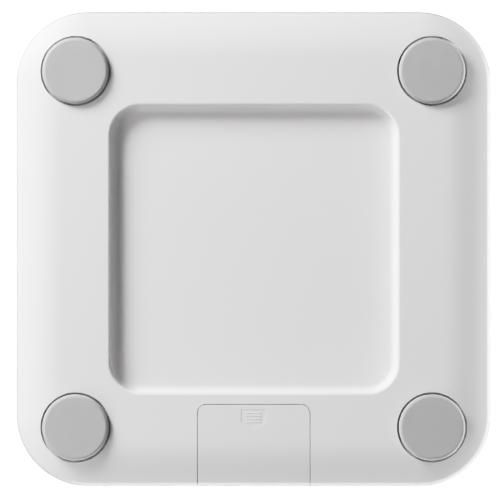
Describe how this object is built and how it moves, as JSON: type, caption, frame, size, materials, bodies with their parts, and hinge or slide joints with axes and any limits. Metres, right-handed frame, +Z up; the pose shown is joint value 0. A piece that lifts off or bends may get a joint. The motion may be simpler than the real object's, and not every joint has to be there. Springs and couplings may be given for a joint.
{
  "type": "digital bathroom scale",
  "caption": "Square digital bathroom scale: glass platform on a white plastic housing with a hollow underside, a sliding battery door and round rubber feet on load cells.",
  "frame": {"origin": "on the floor under the middle of the scale, at the level of the feet's lower faces", "axes": "+Z up through the platform, +Y towards the display edge, the battery door at the -Y edge"},
  "size_m": [0.28, 0.28, 0.024],
  "materials": {
    "housing_abs": "fine moulded satin",
    "door_abs": "fine moulded satin",
    "platform_glass": "polished, tempered",
    "backing_enamel": "printed enamel",
    "foam_tape": "white closed-cell foam",
    "contact_nickel": "nickel plate",
    "battery_jacket": "printed film jacket",
    "board_laminate": "solder mask",
    "chip_epoxy": "moulded epoxy",
    "connector_nylon": "moulded",
    "screw_steel": "zinc plate",
    "display_glass": "reflective display",
    "digit_ink": "dark segments",
    "lead_red": "soft insulation",
    "lead_black": "soft insulation",
    "cable_pvc": "three-wire ribbon",
    "bracket_nylon": "moulded",
    "gauge_silicone": "silicone coat",
    "foot_rubber": "matte moulded",
    "foot_abs": "moulded",
    "cell_steel": "stamped, nickel plate"
  },
  "bodies": {
    "housing": {"bottom_housing": "housing_abs", "glass_platform": "platform_glass", "glass_backing": "backing_enamel", "rim_tape": "foam_tape", "bracket_pads": "foam_tape", "rib_pads": "foam_tape", "contact_plates": "contact_nickel", "contact_springs": "contact_nickel", "battery_1": "battery_jacket", "battery_2": "battery_jacket", "battery_3": "battery_jacket", "main_board": "board_laminate", "board_chips": "chip_epoxy", "board_sockets": "connector_nylon", "cable_plugs": "connector_nylon", "board_screws": "screw_steel", "display_module": "display_glass", "display_digits": "digit_ink", "display_gasket": "foam_tape", "battery_lead_red": "lead_red", "battery_lead_black": "lead_black", "cable_clips": "bracket_nylon", "strain_gauges": "gauge_silicone", "bracket_screws": "screw_steel", "foot_pad_1": "foot_rubber", "foot_cup_1": "foot_abs", "load_cell_1": "cell_steel", "cell_bracket_1": "bracket_nylon", "cell_cable_1": "cable_pvc", "foot_pad_2": "foot_rubber", "foot_cup_2": "foot_abs", "load_cell_2": "cell_steel", "cell_bracket_2": "bracket_nylon", "cell_cable_2": "cable_pvc", "foot_pad_3": "foot_rubber", "foot_cup_3": "foot_abs", "load_cell_3": "cell_steel", "cell_bracket_3": "bracket_nylon", "cell_cable_3": "cable_pvc", "foot_pad_4": "foot_rubber", "foot_cup_4": "foot_abs", "load_cell_4": "cell_steel", "cell_bracket_4": "bracket_nylon", "cell_cable_4": "cable_pvc"},
    "door": {"battery_door": "door_abs", "door_pad": "foam_tape"}
  },
  "joints": [
    {"name": "door_slide", "type": "slide", "parent": "housing", "child": "door", "axis": [0, -1, 0], "range_m": [0, 0.052]}
  ]
}
